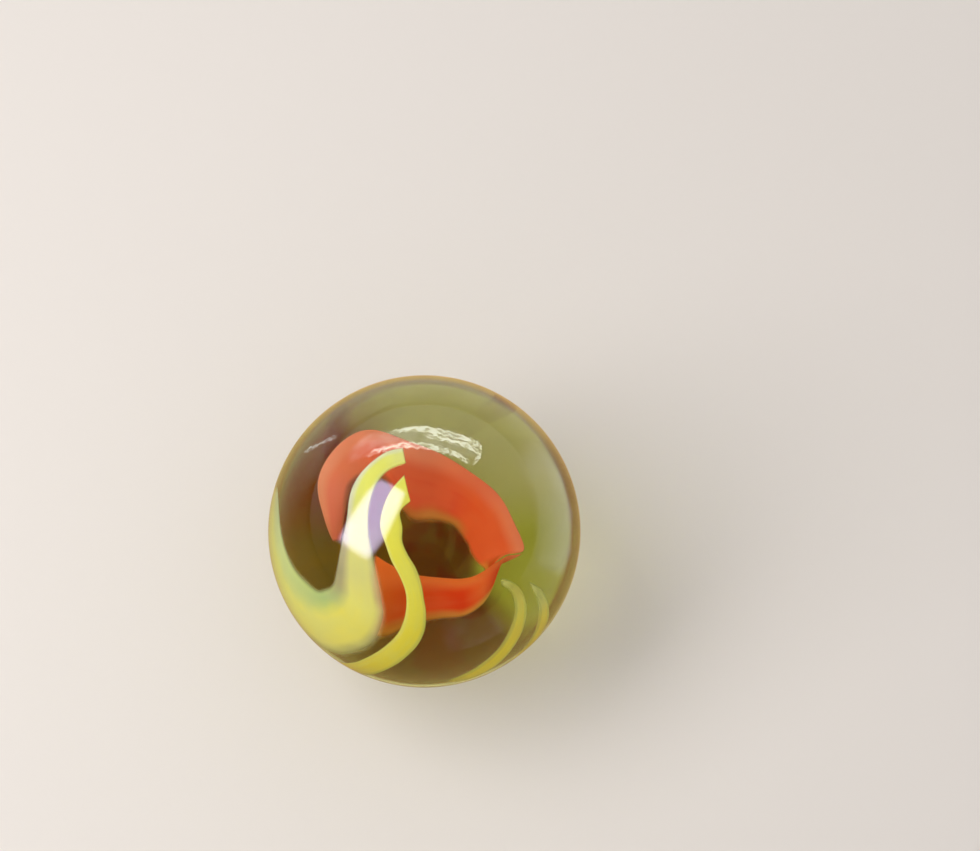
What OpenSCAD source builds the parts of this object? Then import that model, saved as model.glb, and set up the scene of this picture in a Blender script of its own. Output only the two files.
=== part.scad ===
// Glass marble: a clear olive ball with ribbons of coloured glass folded inside it.
// Millimetres, +Z up, origin at the centre of the ball.
//
// The ribbons are drawn in the ball's own "face" axes: +X right, +Y up the face and
// +Z out of it. The face then leans back from straight up by face_lean.

/* [Ball] */
// Diameter of the ball
ball_d = 30; // [16:1:50]
// Lean of the patterned face from straight up, in degrees
face_lean = 15; // [0:5:90]

/* [Ribbons] */
// Thickness of the red ribbon at its middle
red_t = 0.6; // [0.4:0.1:0.8]
// Thickness of the two yellow ribbons at their middle
yellow_t = 0.6; // [0.3:0.1:0.8]
// Thickness of the two yellow threads
thread_t = 0.5; // [0.3:0.1:0.7]
// Glass over the wide yellow ribbon, to its middle
wide_depth = 0.9; // [0.7:0.1:1.1]
// Glass over the narrow yellow ribbon, to its middle
narrow_depth = 1.6; // [1.4:0.1:1.8]
// How far the red ribbon bows out between its two rims
red_bow = 0.4; // [0:0.1:0.6]

/* [Smoothness] */
// Steps between one pair of rim points and the next
steps = 3; // [1:1:4]
// Facets across a ribbon, on each side
ribbon_facets = 5; // [3:1:6]
// Facets across a thread, on each side
thread_facets = 3; // [3:1:4]

/* [Hidden] */
drawn_r = 15;                     // ball radius that the points below are drawn for
unit = ball_d / 2 / drawn_r;      // all lengths grow with the ball

// Red ribbon: a loose loop, each row the [outer rim, inner rim] in face axes.
// It starts as a tip at the left, goes over the top to a corner at the right,
// turns towards the face there and comes back along the lower side.
red_rims = [
    [[-6.4, -0.8,  2.5], [-6.0, -0.8, 2.5]],
    [[-7.0,  0.8,  2.0], [-5.6,  0.7, 2.0]],
    [[-7.4,  3.0,  1.0], [-5.0,  2.6, 1.2]],
    [[-6.8,  4.7,  0.4], [-4.4,  3.2, 0.6]],
    [[-5.2,  6.1, -0.5], [-3.5,  3.2, 0.0]],
    [[-3.4,  6.5, -1.0], [-2.4,  3.0, 0.0]],
    [[-1.0,  5.7, -1.0], [-1.0,  0.6, 0.4]],
    [[ 1.0,  4.9, -1.0], [ 0.5,  0.5, 0.5]],
    [[ 2.8,  3.9, -0.4], [ 1.8,  0.2, 0.5]],
    [[ 4.8,  2.4,  0.0], [ 2.7, -0.9, 0.5]],
    [[ 6.0,  0.5,  0.5], [ 3.0, -1.6, 0.7]],
    [[ 6.8, -1.3,  1.0], [ 3.4, -2.2, 1.2]],
    [[ 5.8, -1.7,  2.6], [ 4.3, -2.9, 2.2]],
    [[ 5.2, -2.3,  4.2], [ 4.8, -4.2, 3.6]],
    [[ 4.0, -3.2,  5.0], [ 4.3, -5.6, 4.5]],
    [[ 2.8, -3.5,  5.0], [ 3.0, -6.5, 4.6]],
    [[ 1.0, -3.4,  5.0], [ 1.2, -6.7, 4.6]],
    [[-1.0, -3.1,  4.9], [-0.8, -7.1, 4.2]],
    [[-2.6, -2.3,  4.5], [-3.0, -8.2, 3.6]],
    [[-3.6, -1.6,  4.0], [-4.6, -8.0, 3.4]]
];

// Wide yellow ribbon, just under the surface: a U whose left arm wraps round the side.
// Each row is the [outer rim, inner rim], and each rim a [turn, rise] in degrees:
// turn goes right from the middle of the face, rise goes up it.
wide_rims = [
    [[ -7,  25], [ -9,  32]],
    [[-14,  22], [-17,  30]],
    [[-18,  17], [-25,  23]],
    [[-20,   9], [-29,  15]],
    [[-20,   0], [-30,   4]],
    [[-18, -10], [-33,  -7]],
    [[-16, -22], [-37, -17]],
    [[-17, -36], [-40, -20]],
    [[-30, -49], [-44, -21]],
    [[-60, -54], [-47, -21]],
    [[-85, -47], [-51, -18]],
    [[-97, -33], [-57, -13]],
    [[-97, -18], [-62,  -6]],
    [[-94,  -3], [-66,   2]],
    [[-92,  10], [-71,  11]],
    [[-88,  18], [-80,  18]]
];

// Narrow yellow ribbon, a little deeper: a long S, rows as above, left rim first.
narrow_rims = [
    [[  -8,  22], [  -5,  11]],
    [[ -13,  16], [  -9,   7]],
    [[ -16,   9], [  -8,   1]],
    [[ -17,   2], [  -8,  -4]],
    [[ -15,  -5], [  -6,  -9]],
    [[ -13, -11], [  -3, -14]],
    [[ -10, -17], [  -1, -20]],
    [[  -8, -23], [   0, -26]],
    [[  -8, -29], [   1, -33]],
    [[ -10, -36], [   0, -42]],
    [[ -15, -43], [  -6, -51]],
    [[ -26, -50], [ -20, -60]],
    [[ -41, -55], [ -42, -66]],
    [[ -60, -58], [ -70, -68]],
    [[ -83, -57], [ -95, -65]],
    [[-104, -50], [-112, -56]],
    [[-117, -42], [-120, -45]]
];

// Yellow threads at the lower right, in face axes, [outer rim, inner rim].
inner_rims = [
    [[6.3,  -3.9,  9.4], [6.4,  -4.6, 9.0]],
    [[7.4,  -4.2,  8.4], [7.0,  -5.0, 8.3]],
    [[8.2,  -5.0,  7.2], [7.4,  -5.8, 7.4]],
    [[8.5,  -6.2,  5.8], [7.4,  -7.0, 6.3]],
    [[8.2,  -7.7,  4.0], [6.8,  -8.4, 5.2]],
    [[7.3,  -9.2,  2.4], [5.9,  -9.6, 4.0]],
    [[6.0, -10.4,  0.8], [4.5, -10.7, 2.9]],
    [[4.3, -11.2, -0.4], [2.9, -11.5, 1.9]],
    [[2.0, -11.8, -1.0], [1.0, -11.9, 0.6]]
];
outer_rims = [
    [[ 8.6,  -4.1,  7.2], [8.9,  -4.8,  6.3]],
    [[ 9.7,  -4.8,  5.2], [9.2,  -5.6,  5.2]],
    [[10.1,  -6.0,  2.8], [9.3,  -6.6,  3.8]],
    [[ 9.8,  -7.1,  0.5], [8.9,  -7.8,  2.2]],
    [[ 8.9,  -8.2, -1.2], [8.1,  -8.8,  0.7]],
    [[ 7.6,  -9.3, -2.2], [7.0,  -9.8, -0.3]],
    [[ 6.0, -10.2, -2.6], [5.7, -10.5, -1.6]]
];

// Point of a rim list at s, counted in rows, on a smooth curve through all of them
function smooth_at(rows, s) =
    let (
        last = len(rows) - 1,
        i = min(floor(s), last - 1),
        t = s - i,
        p0 = rows[max(i - 1, 0)],
        p1 = rows[i],
        p2 = rows[i + 1],
        p3 = rows[min(i + 2, last)]
    )
    p1 + 0.5 * t * ((p2 - p0)
        + t * ((2 * p0 - 5 * p1 + 4 * p2 - p3) + t * (3 * p1 - p0 - 3 * p2 + p3)));

function smooth_rows(rows) = [for (j = [0 : (len(rows) - 1) * steps]) smooth_at(rows, j / steps)];

function unit_vector(v) = v / max(norm(v), 1e-6);

// Even steps round half an ellipse, as shares of its width
function across(facets) = [for (i = [0 : facets]) (1 - cos(180 * i / facets)) / 2];

// Point of the ball at [turn, rise] and a radius
function ball_point(angles, r) =
    r * [sin(angles.x) * cos(angles.y), sin(angles.y), cos(angles.x) * cos(angles.y)];

// Middle surface of a ribbon drawn in face axes, bowed outwards from the loop
function straight_sheet(rims, facets, bow = 0) = [
    for (row = smooth_rows(rims)) [
        for (u = across(facets))
            let (p = row[0] + u * (row[1] - row[0]))
            unit * (p + bow * 4 * u * (1 - u) * [0, 0, 1])
    ]
];

// Middle surface of a ribbon that follows the ball at a depth
function curved_sheet(rims, facets, depth) = [
    for (row = smooth_rows(rims)) [
        for (u = across(facets))
            ball_point(row[0] + u * (row[1] - row[0]), unit * (drawn_r - depth))
    ]
];

// Normal of a sheet at row j and column i
function sheet_normal(sheet, j, i) =
    let (
        down = sheet[min(j + 1, len(sheet) - 1)][i] - sheet[max(j - 1, 0)][i],
        side = sheet[j][min(i + 1, len(sheet[j]) - 1)] - sheet[j][max(i - 1, 0)]
    )
    unit_vector(cross(down, side));

// Gives a sheet its thickness: a lens section, full in the middle and thin at both rims
module ribbon(sheet, thickness) {
    last_row = len(sheet) - 1;
    last_col = len(sheet[0]) - 1;
    ring = 2 * last_col;
    points = [
        for (j = [0 : last_row])
            let (
                width = norm(sheet[j][last_col] - sheet[j][0]),
                half = min(unit * thickness, 0.7 * width) / 2
            )
            each [
                for (q = [0 : ring - 1])
                    let (
                        i = q <= last_col ? q : ring - q,
                        side = q <= last_col ? 1 : -1
                    )
                    sheet[j][i] + side * half * sin(180 * i / last_col) * sheet_normal(sheet, j, i)
            ]
    ];
    skin = [
        for (j = [0 : last_row - 1], q = [0 : ring - 1])
            let (
                a = j * ring + q,
                b = j * ring + (q + 1) % ring
            )
            each [[a, b, b + ring], [a, b + ring, a + ring]]
    ];
    first_cap = [
        for (i = [0 : last_col - 1])
            each [[i, (ring - i) % ring, ring - i - 1], [i, ring - i - 1, i + 1]]
    ];
    end = last_row * ring;
    end_cap = [
        for (i = [0 : last_col - 1])
            each [
                [end + i, end + ring - i - 1, end + (ring - i) % ring],
                [end + i, end + i + 1, end + ring - i - 1]
            ]
    ];
    flat = [for (f = concat(skin, first_cap, end_cap)) if (f[0] != f[1] && f[1] != f[2] && f[2] != f[0]) f];
    polyhedron(points, flat);
}

// Turns face axes into the frame of the part
module on_face() {
    rotate([face_lean, 0, 0]) children();
}

module red_shape() {
    on_face() ribbon(straight_sheet(red_rims, ribbon_facets, red_bow), red_t);
}

module wide_shape() {
    on_face() ribbon(curved_sheet(wide_rims, ribbon_facets, wide_depth), yellow_t);
}

module narrow_shape() {
    on_face() ribbon(curved_sheet(narrow_rims, ribbon_facets, narrow_depth), yellow_t);
}

module thread_shape(rims) {
    on_face() ribbon(straight_sheet(rims, thread_facets), thread_t);
}

module clear_glass() {
    color("darkkhaki", 0.35)
        difference() {
            sphere(d = ball_d, $fn = 96);
            red_shape();
            wide_shape();
            narrow_shape();
            thread_shape(inner_rims);
            thread_shape(outer_rims);
        }
}

module red_ribbon() {
    color("orangered") red_shape();
}

module wide_yellow_ribbon() {
    color("khaki") wide_shape();
}

module narrow_yellow_ribbon() {
    color("gold") narrow_shape();
}

module inner_yellow_thread() {
    color("goldenrod") thread_shape(inner_rims);
}

module outer_yellow_thread() {
    color("goldenrod") thread_shape(outer_rims);
}

clear_glass();
red_ribbon();
wide_yellow_ribbon();
narrow_yellow_ribbon();
inner_yellow_thread();
outer_yellow_thread();
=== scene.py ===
"""Glass marble: a clear olive ball with folded ribbons of coloured glass inside it."""
import math

import bpy
from mathutils import Matrix, Vector, noise


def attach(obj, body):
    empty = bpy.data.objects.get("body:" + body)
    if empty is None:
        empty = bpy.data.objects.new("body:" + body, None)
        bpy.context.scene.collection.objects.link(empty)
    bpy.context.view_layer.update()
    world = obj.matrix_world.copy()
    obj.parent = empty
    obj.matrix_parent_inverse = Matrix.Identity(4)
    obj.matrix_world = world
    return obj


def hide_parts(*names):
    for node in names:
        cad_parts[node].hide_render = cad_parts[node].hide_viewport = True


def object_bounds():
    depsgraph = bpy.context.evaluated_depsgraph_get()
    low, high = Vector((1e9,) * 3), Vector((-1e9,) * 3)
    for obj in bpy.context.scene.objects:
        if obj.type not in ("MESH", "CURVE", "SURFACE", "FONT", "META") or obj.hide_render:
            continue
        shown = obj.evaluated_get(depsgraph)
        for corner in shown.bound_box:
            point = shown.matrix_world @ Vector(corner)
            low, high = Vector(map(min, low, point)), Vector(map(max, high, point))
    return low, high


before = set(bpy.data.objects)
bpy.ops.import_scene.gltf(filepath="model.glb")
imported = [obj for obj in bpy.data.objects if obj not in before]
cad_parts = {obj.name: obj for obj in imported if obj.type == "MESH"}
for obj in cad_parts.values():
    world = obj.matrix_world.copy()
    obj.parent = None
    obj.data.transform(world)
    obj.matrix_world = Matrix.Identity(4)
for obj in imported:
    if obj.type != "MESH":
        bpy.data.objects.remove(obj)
CAD_LOW, CAD_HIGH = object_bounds()

bl_info = {
    "name": "Glass Marble",
    "version": (1, 0, 0),
    "blender": (4, 5, 0),
    "location": "View3D > Sidebar > Marble",
    "description": "Builds a glass marble with coloured ribbons, and a small studio for it",
    "category": "Add Mesh",
}

MM = 0.001
DRAWN_RADIUS = 15 * MM  # ball that the rims below are drawn for
BALL_RADIUS = min(high - low for low, high in zip(CAD_LOW, CAD_HIGH)) / 2
BALL_CENTRE = (Vector(CAD_LOW) + Vector(CAD_HIGH)) / 2
FACE_LEAN = math.radians(15)  # patterned face, back from straight up
FACE_TURN = Matrix.Rotation(FACE_LEAN, 4, "X")
UNEVENNESS = 0.02 * MM  # depth of the shallow dips in the ball
DIPS_PER_RADIUS = 2.5  # how closely the dips follow each other
LENS_SHARE = 0.7  # most that a ribbon's thickness takes of its width

# Red ribbon: rows of (outer rim, inner rim), millimetres in face axes
# (+X right, +Y up the face, +Z out of it).
RED_RIMS = [
    ((-6.4, -0.8, 2.5), (-6.0, -0.8, 2.5)),
    ((-7.0, 0.8, 2.0), (-5.6, 0.7, 2.0)),
    ((-7.4, 3.0, 1.0), (-5.0, 2.6, 1.2)),
    ((-6.8, 4.7, 0.4), (-4.4, 3.2, 0.6)),
    ((-5.2, 6.1, -0.5), (-3.5, 3.2, 0.0)),
    ((-3.4, 6.5, -1.0), (-2.4, 3.0, 0.0)),
    ((-1.0, 5.7, -1.0), (-1.0, 0.6, 0.4)),
    ((1.0, 4.9, -1.0), (0.5, 0.5, 0.5)),
    ((2.8, 3.9, -0.4), (1.8, 0.2, 0.5)),
    ((4.8, 2.4, 0.0), (2.7, -0.9, 0.5)),
    ((6.0, 0.5, 0.5), (3.0, -1.6, 0.7)),
    ((6.8, -1.3, 1.0), (3.4, -2.2, 1.2)),
    ((5.8, -1.7, 2.6), (4.3, -2.9, 2.2)),
    ((5.2, -2.3, 4.2), (4.8, -4.2, 3.6)),
    ((4.0, -3.2, 5.0), (4.3, -5.6, 4.5)),
    ((2.8, -3.5, 5.0), (3.0, -6.5, 4.6)),
    ((1.0, -3.4, 5.0), (1.2, -6.7, 4.6)),
    ((-1.0, -3.1, 4.9), (-0.8, -7.1, 4.2)),
    ((-2.6, -2.3, 4.5), (-3.0, -8.2, 3.6)),
    ((-3.6, -1.6, 4.0), (-4.6, -8.0, 3.4)),
]

# Wide yellow ribbon: rows of (outer rim, inner rim), each a (turn, rise) in degrees
# over the face: turn goes right from its middle, rise goes up it.
WIDE_RIMS = [
    ((-7, 25), (-9, 32)),
    ((-14, 22), (-17, 30)),
    ((-18, 17), (-25, 23)),
    ((-20, 9), (-29, 15)),
    ((-20, 0), (-30, 4)),
    ((-18, -10), (-33, -7)),
    ((-16, -22), (-37, -17)),
    ((-17, -36), (-40, -20)),
    ((-30, -49), (-44, -21)),
    ((-60, -54), (-47, -21)),
    ((-85, -47), (-51, -18)),
    ((-97, -33), (-57, -13)),
    ((-97, -18), (-62, -6)),
    ((-94, -3), (-66, 2)),
    ((-92, 10), (-71, 11)),
    ((-88, 18), (-80, 18)),
]

# Narrow yellow ribbon: rows as above, left rim first
NARROW_RIMS = [
    ((-8, 22), (-5, 11)),
    ((-13, 16), (-9, 7)),
    ((-16, 9), (-8, 1)),
    ((-17, 2), (-8, -4)),
    ((-15, -5), (-6, -9)),
    ((-13, -11), (-3, -14)),
    ((-10, -17), (-1, -20)),
    ((-8, -23), (0, -26)),
    ((-8, -29), (1, -33)),
    ((-10, -36), (0, -42)),
    ((-15, -43), (-6, -51)),
    ((-26, -50), (-20, -60)),
    ((-41, -55), (-42, -66)),
    ((-60, -58), (-70, -68)),
    ((-83, -57), (-95, -65)),
    ((-104, -50), (-112, -56)),
    ((-117, -42), (-120, -45)),
]

# Yellow threads at the lower right, millimetres in face axes
INNER_RIMS = [
    ((6.3, -3.9, 9.4), (6.4, -4.6, 9.0)),
    ((7.4, -4.2, 8.4), (7.0, -5.0, 8.3)),
    ((8.2, -5.0, 7.2), (7.4, -5.8, 7.4)),
    ((8.5, -6.2, 5.8), (7.4, -7.0, 6.3)),
    ((8.2, -7.7, 4.0), (6.8, -8.4, 5.2)),
    ((7.3, -9.2, 2.4), (5.9, -9.6, 4.0)),
    ((6.0, -10.4, 0.8), (4.5, -10.7, 2.9)),
    ((4.3, -11.2, -0.4), (2.9, -11.5, 1.9)),
    ((2.0, -11.8, -1.0), (1.0, -11.9, 0.6)),
]
OUTER_RIMS = [
    ((8.6, -4.1, 7.2), (8.9, -4.8, 6.3)),
    ((9.7, -4.8, 5.2), (9.2, -5.6, 5.2)),
    ((10.1, -6.0, 2.8), (9.3, -6.6, 3.8)),
    ((9.8, -7.1, 0.5), (8.9, -7.8, 2.2)),
    ((8.9, -8.2, -1.2), (8.1, -8.8, 0.7)),
    ((7.6, -9.3, -2.2), (7.0, -9.8, -0.3)),
    ((6.0, -10.2, -2.6), (5.7, -10.5, -1.6)),
]

SENSOR_WIDTH = 36.0  # millimetres, as the lens is
BALL_SHARE = 0.3184  # width of the ball, of the picture's width
BALL_OFF_MIDDLE = (-0.0668, -0.1077)  # middle of the ball, in picture widths

# Window lamp: the way to it and its long way, in face axes, and its size and distance in metres
LAMP_TOWARDS = (-0.66, 0.19, 0.73)
LAMP_LONG_WAY = (0.49, 0.85, 0.22)
LAMP_SIZE = (0.14, 0.33)
LAMP_AWAY = 0.3

FLOOR_HALF = 3.0  # half the width of the floor, in metres

# Tones of the floor, as (start, end) in ball radii: along the way to its far side and round the
# ball, both painted reflections that only the ball's mirror sees, and out to the backdrop
FAR_WAY = (0.5, 1.0, 0.0)
NEAR_TO_FAR = (-2.5, 3.0)
WARM_RING = (2.2, 2.9)
BACKDROP_RING = (4.0, 16.0)

# Mirrored sky: bright beyond the first angle from straight out of the face and dim within the
# second. Its bright part goes from near to far strength between two heights along a way.
OVERHEAD_ANGLES = (math.radians(75), math.radians(35))
SKY_WAY = (-0.1, 1.0, 0.0)
SKY_HEIGHTS = (-0.2, 0.8)

# Painted shade under the ball that shows only through it, with one lighter olive disc, as discs on
# the floor: (right, up, radius, softness, share of olive patches, colour), in ball radii from the
# spot straight behind the ball
CONTACT_SHADE = [
    (0.17, -0.08, 0.12, 0.06, 0.0, (0.64, 0.64, 0.26)),
    (-0.16, -0.12, 0.23, 0.02, 0.5, (0.36, 0.17, 0.006)),
    (-0.15, 0.09, 0.09, 0.05, 0.2, (0.33, 0.025, 0.0)),
    (0.04, -0.22, 0.13, 0.03, 0.45, (0.27, 0.05, 0.01)),
    (0.025, -0.045, 0.098, 0.02, 0.5, (0.27, 0.038, 0.005)),
]
SHADE_WOBBLE = 0.05  # how far the discs' edges wander, in ball radii

# Cards: sheets that only the ball mirrors. They are drawn where they show on the ball, in ball
# radii from its middle, and stand this far from it in metres.
WINDOW_AWAY = 0.3
GLINTS_AWAY = 0.4
GLINT_HAZE_AWAY = 0.42
LOW_HAZE_AWAY = 0.05
SIDE_AWAY = 0.02  # near enough to stay above the floor
CARD_SHARES = [0.0, 0.15, 0.35, 0.65, 0.85, 1.0]  # columns of a card, as shares of its width
CARD_STREAKS = 2.4  # streaks over the width of a card
ROW_STREAKS = 0.25  # streaks along one of its rows
END_SOFTNESS = 0.6  # softness of its ends, as a share of its sides' softness

# The bright window, as pairs of (right, up)
WINDOW_GLARE = [
    ((-0.55, -0.06), (-0.34, -0.20)),
    ((-0.46, 0.11), (-0.22, -0.05)),
    ((-0.36, 0.25), (-0.14, 0.12)),
    ((-0.27, 0.33), (-0.10, 0.24)),
]

# Thin glints over the top and one at the left, as (right, up, half width)
TOP_GLINTS = [
    [(-0.24, 0.600, 0.010), (-0.16, 0.615, 0.018), (-0.07, 0.632, 0.026), (0.06, 0.615, 0.024),
     (0.17, 0.590, 0.022), (0.28, 0.555, 0.022), (0.345, 0.515, 0.024), (0.345, 0.475, 0.024),
     (0.320, 0.435, 0.022), (0.285, 0.405, 0.014)],
    [(-0.02, 0.590, 0.012), (0.09, 0.570, 0.020), (0.20, 0.542, 0.022), (0.285, 0.510, 0.022),
     (0.335, 0.475, 0.020), (0.325, 0.440, 0.014)],
    [(-0.37, 0.450, 0.012), (-0.29, 0.490, 0.022), (-0.20, 0.515, 0.025), (-0.10, 0.525, 0.024),
     (0.0, 0.520, 0.024), (0.085, 0.502, 0.024), (0.17, 0.475, 0.024), (0.24, 0.440, 0.024),
     (0.285, 0.410, 0.014)],
]
LEFT_GLINT = [
    (-0.76, 0.490, 0.010), (-0.70, 0.520, 0.016), (-0.65, 0.545, 0.012), (-0.58, 0.575, 0.016),
    (-0.54, 0.590, 0.010),
]
LEFT_GLINT_SHARE = 0.3  # strength, of the other glints' strength
GLINT_WAVINESS = 0.004
GLINT_COLOUR = (0.95, 1.0, 0.92)

# Pale haze, a painted reflection of glowing sheets: between the glints as (right, up, half width),
# and on the right and low down as pairs of (right, up)
GLINT_HAZE = [
    (-0.48, 0.44, 0.05), (-0.35, 0.53, 0.08), (-0.15, 0.57, 0.07), (0.05, 0.57, 0.08),
    (0.22, 0.53, 0.08), (0.34, 0.46, 0.05),
]
SIDE_HAZE = [
    ((0.50, 0.48), (0.70, 0.62)),
    ((0.62, 0.26), (0.87, 0.36)),
    ((0.66, 0.08), (0.94, 0.12)),
    ((0.66, -0.10), (0.93, -0.14)),
    ((0.64, -0.24), (0.86, -0.32)),
]
LOW_HAZE = [
    ((0.06, -0.52), (0.12, -0.78)),
    ((0.26, -0.48), (0.36, -0.78)),
    ((0.46, -0.44), (0.54, -0.70)),
]
GLINT_HAZE_COLOUR = (0.95, 0.97, 1.0)
SIDE_HAZE_COLOUR = (1.0, 0.98, 1.0)
LOW_HAZE_COLOUR = (1.0, 0.66, 0.66)
SIDE_HAZE_SHARE = 0.45  # strengths, of the haze between the glints
LOW_HAZE_SHARE = 0.2


# Shader nodes ----------------------------------------------------------------

class Wire:
    """An output socket that takes part in ordinary arithmetic."""

    def __init__(self, recipe, socket):
        self.recipe = recipe
        self.socket = socket

    def _maths(self, operation, *values):
        return self.recipe.node("ShaderNodeMath", {"operation": operation}, dict(enumerate(values)))

    def __add__(self, other):
        return self._maths("ADD", self, other)

    def __radd__(self, other):
        return self._maths("ADD", other, self)

    def __sub__(self, other):
        return self._maths("SUBTRACT", self, other)

    def __rsub__(self, other):
        return self._maths("SUBTRACT", other, self)

    def __mul__(self, other):
        return self._maths("MULTIPLY", self, other)

    def __rmul__(self, other):
        return self._maths("MULTIPLY", other, self)


class Recipe:
    """The node tree of one material or world, started empty."""

    def __init__(self, owner):
        owner.use_nodes = True
        self.tree = owner.node_tree
        self.tree.nodes.clear()

    def node(self, kind, settings=None, inputs=None, output=0):
        """Adds a node: its settings first, then a value or a Wire for each named socket."""
        made = self.tree.nodes.new(kind)
        for name, value in (settings or {}).items():
            if name == "stops":
                self._set_stops(made.color_ramp, value)
            else:
                setattr(made, name, value)
        for name, value in (inputs or {}).items():
            if isinstance(value, Wire):
                self.tree.links.new(value.socket, made.inputs[name])
            else:
                made.inputs[name].default_value = value
        return Wire(self, made.outputs[output]) if made.outputs else made

    @staticmethod
    def _set_stops(ramp, stops):
        while len(ramp.elements) > 1:
            ramp.elements.remove(ramp.elements[-1])
        for index, (place, colour) in enumerate(stops):
            stop = ramp.elements[0] if index == 0 else ramp.elements.new(place)
            stop.position = place
            stop.color = colour

    def blend(self, share, first, second):
        """Mixes two colours by a share."""
        settings = {"data_type": "RGBA"}
        return self.node("ShaderNodeMix", settings, {0: share, 6: first, 7: second}, output=2)

    def along_ribbon(self, along, stops):
        """A colour that changes along a ribbon, from a list of (place, colour)."""
        stops = [(place, opaque(colour)) for place, colour in stops]
        return self.node("ShaderNodeValToRGB", {"stops": stops}, {"Fac": along})

    def attribute(self, name):
        """A number that the mesh keeps for each of its points."""
        return self.node("ShaderNodeAttribute", {"attribute_name": name}, output="Fac")

    def ray(self, kind):
        """What Light Path says of a ray."""
        return self.node("ShaderNodeLightPath", output=kind)

    def before_matt(self):
        """1 for a ray that has met no matt surface yet."""
        inputs = {0: self.ray("Diffuse Depth"), 1: 0.5}
        return self.node("ShaderNodeMath", {"operation": "LESS_THAN"}, inputs)

    def either(self, share, first, second):
        """Mixes two shaders by a share."""
        return self.node("ShaderNodeMixShader", inputs={0: share, 1: first, 2: second})

    def steps(self, value, low, high):
        """0 below low, 1 above high, and a smooth rise between."""
        settings = {"interpolation_type": "SMOOTHSTEP"}
        inputs = {"Value": value, "From Min": low, "From Max": high}
        return self.node("ShaderNodeMapRange", settings, inputs)

    def distance(self, place, middle):
        """How far a place is from a fixed point."""
        inputs = {0: place, 1: middle}
        return self.node("ShaderNodeVectorMath", {"operation": "DISTANCE"}, inputs, output="Value")

    def dot(self, direction, other):
        """Dot product of a direction with a fixed one."""
        settings = {"operation": "DOT_PRODUCT"}
        return self.node("ShaderNodeVectorMath", settings, {0: direction, 1: other}, output="Value")


def opaque(colour):
    """A colour with its fourth number."""
    return (*colour[:3], 1.0)


# Mesh code -------------------------------------------------------------------

def mix(a, b, share):
    """A point between two others."""
    return tuple(x + (y - x) * share for x, y in zip(a, b))


def smooth_between(p0, p1, p2, p3, t):
    """Catmull-Rom curve from p1 to p2."""
    return tuple(
        b + 0.5 * t * ((c - a) + t * ((2 * a - 5 * b + 4 * c - d) + t * (3 * b - a - 3 * c + d)))
        for a, b, c, d in zip(p0, p1, p2, p3)
    )


def smooth_rows(rims, steps):
    """Rows of two rim points on smooth curves through all the given rows."""
    last = len(rims) - 1
    rows = []
    for number in range(last * steps + 1):
        start = min(number // steps, last - 1)
        share = number / steps - start
        near = [rims[min(max(start + k, 0), last)] for k in (-1, 0, 1, 2)]
        rows.append([smooth_between(*(row[side] for row in near), share) for side in (0, 1)])
    return rows


def face_point(point, bow):
    """A point drawn in face axes, in millimetres, and lifted by a bow, as metres."""
    lifted = Vector((point[0], point[1], point[2] + bow)) * MM
    return BALL_CENTRE + FACE_TURN @ (lifted * BALL_RADIUS / DRAWN_RADIUS)


def shell_point(angles, depth):
    """A (turn, rise) over the face, at a depth under the surface, as metres."""
    turn, rise = (math.radians(value) for value in angles)
    flat = math.cos(rise)
    direction = Vector((math.sin(turn) * flat, math.sin(rise), math.cos(turn) * flat))
    radius = BALL_RADIUS - depth * BALL_RADIUS / DRAWN_RADIUS
    return BALL_CENTRE + FACE_TURN @ (direction * radius)


def smooth_mesh(name, points, faces):
    """A mesh with smooth shading."""
    mesh = bpy.data.meshes.new(name)
    mesh.from_pydata(points, [], faces)
    mesh.validate()
    for polygon in mesh.polygons:
        polygon.use_smooth = True
    return mesh


def keep_shares(mesh, spots):
    """Keeps each point's shares of the length and the width on the mesh, for its material."""
    for number, name in enumerate(("along", "across")):
        mesh.attributes.new(name, "FLOAT", "POINT")
        mesh.attributes[name].data.foreach_set("value", [spot[number] for spot in spots])


def ribbon_faces(last, columns):
    """Faces of a closed ribbon: a ring round each row, and a cap at each end."""
    ring = 2 * columns
    faces = []
    for j in range(last):
        for q in range(ring):
            a = j * ring + q
            b = j * ring + (q + 1) % ring
            faces.append((a, a + ring, b + ring, b))
    end = last * ring
    for i in range(columns):
        near = (i, i + 1, ring - i - 1, (ring - i) % ring)
        faces.append(tuple(dict.fromkeys(near)))
        far = (end + (ring - i) % ring, end + ring - i - 1, end + i + 1, end + i)
        faces.append(tuple(dict.fromkeys(far)))
    return faces


def ribbon_mesh(name, rims, place, thickness, steps=8, columns=20):
    """A closed ribbon with a lens section, between two rims.

    place(point, share of the width) turns a point between the rims into metres.
    """
    rows = smooth_rows(rims, steps)
    shares = [(1 - math.cos(math.pi * i / columns)) / 2 for i in range(columns + 1)]
    sheet = [[place(mix(left, right, u), u) for u in shares] for left, right in rows]
    last = len(sheet) - 1
    ring = 2 * columns
    points = []
    spots = []
    for j, row in enumerate(sheet):
        width = (row[-1] - row[0]).length
        half = min(thickness, LENS_SHARE * width) / 2
        for q in range(ring):
            i = q if q <= columns else ring - q
            side = 1 if q <= columns else -1
            down = sheet[min(j + 1, last)][i] - sheet[max(j - 1, 0)][i]
            across = row[min(i + 1, columns)] - row[max(i - 1, 0)]
            normal = down.cross(across).normalized()
            points.append(row[i] + normal * side * half * math.sin(math.pi * i / columns))
            spots.append((j / last, shares[i]))
    mesh = smooth_mesh(name, points, ribbon_faces(last, columns))
    keep_shares(mesh, spots)
    return mesh


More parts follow.
